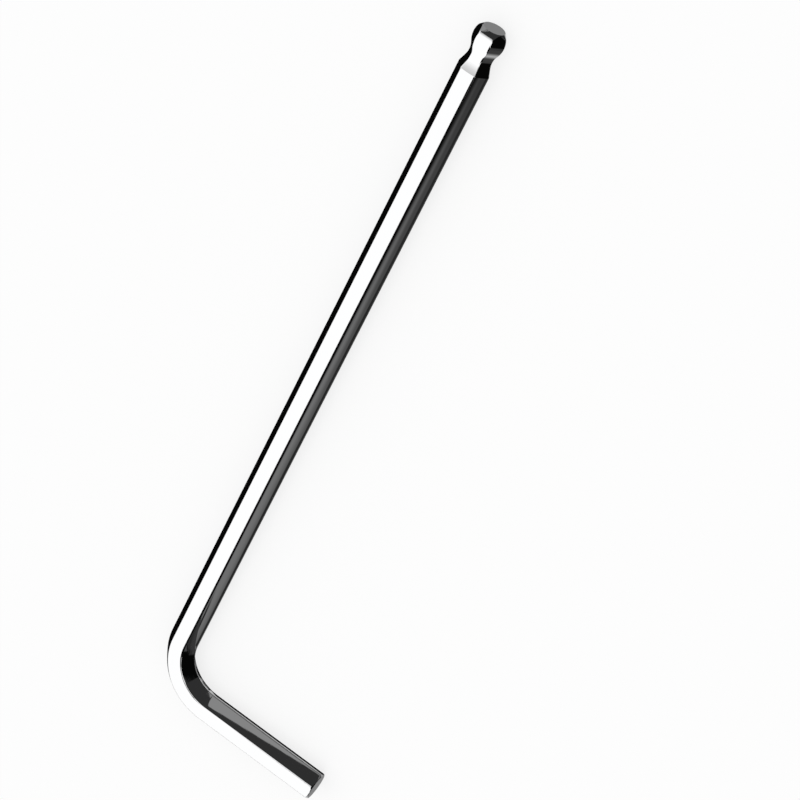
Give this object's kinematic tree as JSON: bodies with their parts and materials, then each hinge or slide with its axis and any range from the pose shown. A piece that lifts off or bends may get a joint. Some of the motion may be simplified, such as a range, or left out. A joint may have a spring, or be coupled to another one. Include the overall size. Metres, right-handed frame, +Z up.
{
  "type": "hex key",
  "caption": "Long L-shaped hex key: hexagonal bar bent square, a plain chamfered short arm, and a long arm with a necked ball that drives a socket screw at a slant.",
  "frame": {"origin": "on the surface the key lies on, under the middle of its bounding box", "axes": "+X along the long arm towards the ball, -Y along the short arm towards its end, +Z up; both arms lie level on one flat of the bar"},
  "size_m": [0.1429, 0.037, 0.005],
  "materials": {
    "bright_steel": "polished nickel-chrome plate on hardened steel"
  },
  "bodies": {
    "root": {"hex_key": "bright_steel"}
  },
  "joints": []
}
